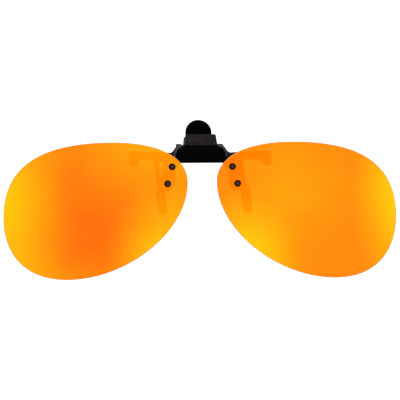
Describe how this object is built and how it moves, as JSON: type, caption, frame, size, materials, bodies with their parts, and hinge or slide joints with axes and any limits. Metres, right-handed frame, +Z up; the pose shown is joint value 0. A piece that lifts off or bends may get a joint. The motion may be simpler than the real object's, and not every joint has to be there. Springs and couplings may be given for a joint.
{
  "type": "clip-on sunglasses",
  "caption": "Flip-up clip-on sunglasses: rimless mirrored lenses riveted to a hinged bar, with a sprung clamp that grips a pair of glasses at the bridge.",
  "frame": {"origin": "on the mid plane, at the grip plane between the closed jaws, level with the bottom edge of the carrier bar", "axes": "+X to the wearer's left, +Y back towards the wearer, +Z up; the lenses face -Y"},
  "size_m": [0.136, 0.0158, 0.0549],
  "materials": {
    "lens_coat": "orange mirror coating on a tinted plastic lens",
    "rivet_black": "gloss black",
    "washer_clear": "clear",
    "carrier_black": "smooth black",
    "jaw_black": "satin black, a shade lighter than the bar",
    "tab_black": "satin black",
    "steel": "plain steel pin",
    "spring_steel": "bright spring wire",
    "silicone": "translucent silicone"
  },
  "bodies": {
    "front_clamp": {"flip_axle": "steel", "front_jaw": "jaw_black", "hook_pad_left": "silicone", "hook_pad_right": "silicone", "clamp_axle": "steel", "torsion_spring": "spring_steel"},
    "lens_flip": {"lens_carrier": "carrier_black", "lens_left": "lens_coat", "lens_right": "lens_coat", "rivet_upper_left": "rivet_black", "washer_upper_left": "washer_clear", "cap_upper_left": "rivet_black", "rivet_lower_left": "rivet_black", "washer_lower_left": "washer_clear", "cap_lower_left": "rivet_black", "rivet_upper_right": "rivet_black", "washer_upper_right": "washer_clear", "cap_upper_right": "rivet_black", "rivet_lower_right": "rivet_black", "washer_lower_right": "washer_clear", "cap_lower_right": "rivet_black"},
    "rear_clamp": {"rear_jaw": "tab_black", "leg_sleeve_left": "silicone", "leg_sleeve_right": "silicone"}
  },
  "joints": [
    {"name": "flip_up", "type": "hinge", "parent": "front_clamp", "child": "lens_flip", "pos_m": [0, -0.0047, 0.0037], "axis": [-1, 0, 0], "range_deg": [0, 90]},
    {"name": "clamp_squeeze", "type": "hinge", "parent": "front_clamp", "child": "rear_clamp", "pos_m": [0, 0.0012, 0.0044], "axis": [1, 0, 0], "range_deg": [0, 28], "stiffness_Nm_per_rad": 0.05, "springref_deg": -34.38, "deforming": ["torsion_spring"]}
  ]
}
